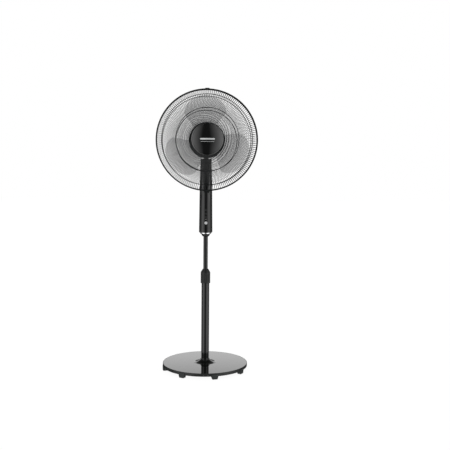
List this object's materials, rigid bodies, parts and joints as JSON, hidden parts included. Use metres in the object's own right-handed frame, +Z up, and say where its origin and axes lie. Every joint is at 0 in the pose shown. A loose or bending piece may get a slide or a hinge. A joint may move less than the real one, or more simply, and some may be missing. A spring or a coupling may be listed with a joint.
{
  "type": "pedestal fan",
  "caption": "Pedestal fan with a round weighted base, telescopic pole, button column, and a tilting, swinging caged head with translucent blades.",
  "frame": {"origin": "on the floor, on the pole's axis, at the centre of the base", "axes": "+Z up along the pole, -Y forwards, the way the fan blows, +X to the right as seen from the front"},
  "size_m": [0.442, 0.3808, 1.2449],
  "materials": {
    "gloss_black": "mirror-gloss black",
    "satin_black": "fine-grained satin black moulding",
    "tube_black": "gloss black enamel on steel tube",
    "tube_inner": "satin black enamel on steel tube",
    "cast_weight": "cast, grey primer",
    "zinc_steel": "zinc-plated steel",
    "bright_chrome": "bright chrome",
    "silver_button": "satin silver",
    "white_pom": "natural acetal",
    "foot_rubber": "matt black pad",
    "display_lens": "smoked window",
    "eye_lens": "dark red infra-red window",
    "board_green": "solder-masked board",
    "board_parts": "moulded switch bodies",
    "die_cast": "die-cast, as cast",
    "lamination": "stacked laminations",
    "winding": "varnished copper wire",
    "cage_wire": "dark grey enamel on steel wire",
    "cage_band": "satin dark grey channel",
    "smoke_blade": "smoked translucent moulding"
  },
  "bodies": {
    "base": {"base_cover": "gloss_black", "rim_trim": "satin_black", "base_weight": "cast_weight", "pole_flange": "die_cast", "base_screws": "zinc_steel", "base_feet": "foot_rubber", "outer_tube": "tube_black", "tube_bush": "white_pom"},
    "lock_collar": {"lock_collar": "satin_black"},
    "mast": {"inner_tube": "tube_inner", "tube_end_plug": "white_pom", "tube_socket": "satin_black", "chrome_ring": "bright_chrome", "column_front": "gloss_black", "column_rear": "gloss_black", "column_screws": "zinc_steel", "cord_gland": "foot_rubber", "facia": "gloss_black", "display_window": "display_lens", "receiver_eye": "eye_lens", "control_board": "board_green", "board_switches": "board_parts", "neck_pivot_block": "die_cast", "tilt_bolt": "zinc_steel", "tilt_washers": "white_pom"},
    "speed_key": {"speed_button": "satin_black"},
    "mode_key": {"mode_button": "satin_black"},
    "timer_key": {"timer_button": "satin_black"},
    "power_key": {"power_button": "silver_button"},
    "tilt_neck": {"tilt_bracket": "die_cast", "swing_gear": "white_pom", "swivel_screw": "zinc_steel"},
    "swing_head": {"swing_motor": "zinc_steel", "swing_plate": "zinc_steel", "swivel_washer": "white_pom", "head_screws": "zinc_steel", "front_end_cap": "die_cast", "rear_end_cap": "die_cast", "shaft_bearings": "zinc_steel", "stator_core": "lamination", "stator_coils": "winding", "motor_front_plate": "satin_black", "motor_cover": "satin_black", "cover_stud": "die_cast", "rear_wires": "cage_wire", "rear_rings": "cage_wire", "rear_plate": "cage_wire", "grille_nut": "satin_black", "front_wires": "cage_wire", "front_rings": "cage_wire", "rim_band": "cage_band", "rim_clips": "cage_band", "badge": "gloss_black", "badge_back": "satin_black"},
    "pinion": {"swing_pinion": "white_pom"},
    "rotor": {"rotor_core": "lamination", "motor_shaft": "zinc_steel", "drive_pin": "zinc_steel", "fan_blade": "smoke_blade", "blade_nut": "satin_black"}
  },
  "joints": [
    {"name": "collar_twist", "type": "hinge", "parent": "base", "child": "lock_collar", "pos_m": [0, 0, 0.42], "axis": [0, 0, 1], "range_deg": [0, 90]},
    {"name": "height_slide", "type": "slide", "parent": "base", "child": "mast", "axis": [0, 0, 1], "range_m": [-0.135, 0.085]},
    {"name": "speed_press", "type": "slide", "parent": "mast", "child": "speed_key", "axis": [0, 1, 0], "range_m": [0, 0.0012], "stiffness_N_per_m": 300},
    {"name": "mode_press", "type": "slide", "parent": "mast", "child": "mode_key", "axis": [0, 1, 0], "range_m": [0, 0.0012], "stiffness_N_per_m": 300},
    {"name": "timer_press", "type": "slide", "parent": "mast", "child": "timer_key", "axis": [0, 1, 0], "range_m": [0, 0.0012], "stiffness_N_per_m": 300},
    {"name": "power_press", "type": "slide", "parent": "mast", "child": "power_key", "axis": [0, 1, 0], "range_m": [0, 0.0012], "stiffness_N_per_m": 300},
    {"name": "head_tilt", "type": "hinge", "parent": "mast", "child": "tilt_neck", "pos_m": [0, 0, 0.926], "axis": [-1, 0, 0], "range_deg": [-10, 20]},
    {"name": "head_swing", "type": "hinge", "parent": "tilt_neck", "child": "swing_head", "pos_m": [0, 0, 0.967], "axis": [0, 0, 1], "range_deg": [-40, 40]},
    {"name": "pinion_spin", "type": "hinge", "parent": "swing_head", "child": "pinion", "pos_m": [0, 0.02805, 0.964], "axis": [0, 0, 1], "range_deg": [-160, 160]},
    {"name": "rotor_spin", "type": "hinge", "parent": "swing_head", "child": "rotor", "pos_m": [0, -0.1, 1.022], "axis": [0, 1, 0], "continuous": true}
  ],
  "couplings": [
    {"joint": "pinion_spin", "follows": "head_swing", "ratio": 3.6667}
  ]
}
